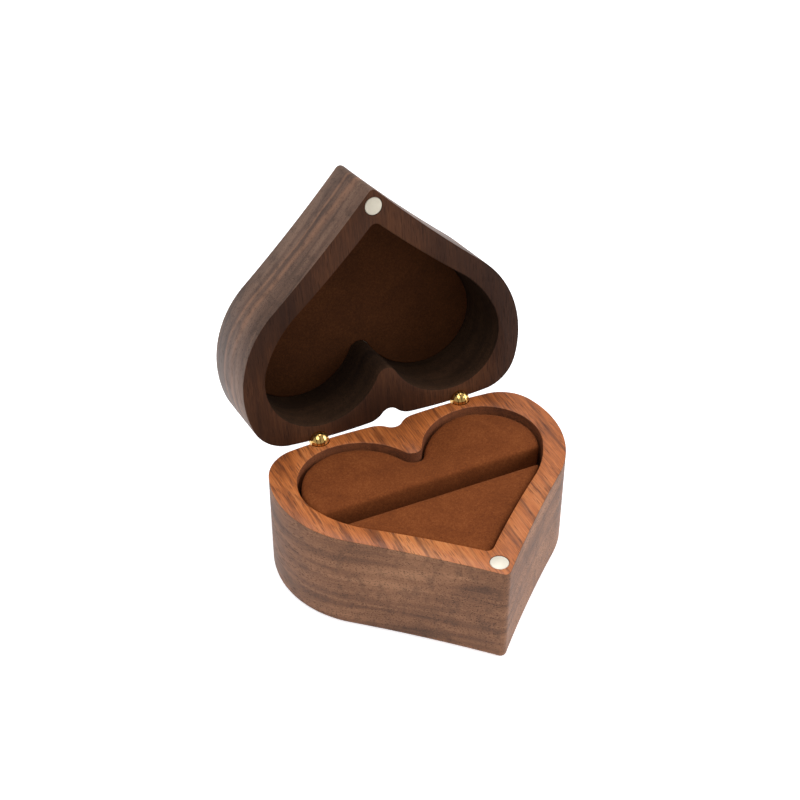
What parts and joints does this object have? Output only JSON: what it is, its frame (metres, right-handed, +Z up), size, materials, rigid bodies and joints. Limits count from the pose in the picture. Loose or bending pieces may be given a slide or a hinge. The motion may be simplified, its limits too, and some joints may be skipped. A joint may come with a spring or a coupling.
{
  "type": "ring box",
  "caption": "Heart-shaped wooden ring box with a hinged hollow lid, magnet catch, and a suede cushion with a slot that holds one ring upright.",
  "frame": {"origin": "middle of the base's flat underside, half way between the tip and the back of the lobes", "axes": "+Z up out of the base, tip of the heart and magnets towards -Y, hinges towards +Y, X across the lobes; the lid is stored open"},
  "size_m": [0.067, 0.0817, 0.0786],
  "materials": {
    "walnut": "oiled walnut, satin",
    "dark_walnut": "oiled dark walnut, satin",
    "nickel": "nickel plating, satin",
    "brass": "polished brass",
    "suede": "rust-brown suede, short nap",
    "lining_suede": "dark brown suede, short nap",
    "foam": "firm open-cell foam",
    "card": "grey board"
  },
  "bodies": {
    "base": {"base_shell": "walnut", "base_magnet": "nickel", "rear_board": "card", "rear_foam": "foam", "rear_cover": "suede", "front_board": "card", "front_foam": "foam", "front_cover": "suede", "left_hinge_fork": "brass", "left_hinge_pin": "brass", "right_hinge_fork": "brass", "right_hinge_pin": "brass"},
    "lid": {"lid_shell": "dark_walnut", "lid_magnet": "nickel", "lining_board": "card", "lining_suede": "lining_suede", "left_hinge_tongue": "brass", "right_hinge_tongue": "brass"}
  },
  "joints": [
    {"name": "lid_hinge", "type": "hinge", "parent": "base", "child": "lid", "pos_m": [0, 0.0277, 0.02405], "axis": [1, 0, 0], "range_deg": [0, 99]}
  ]
}
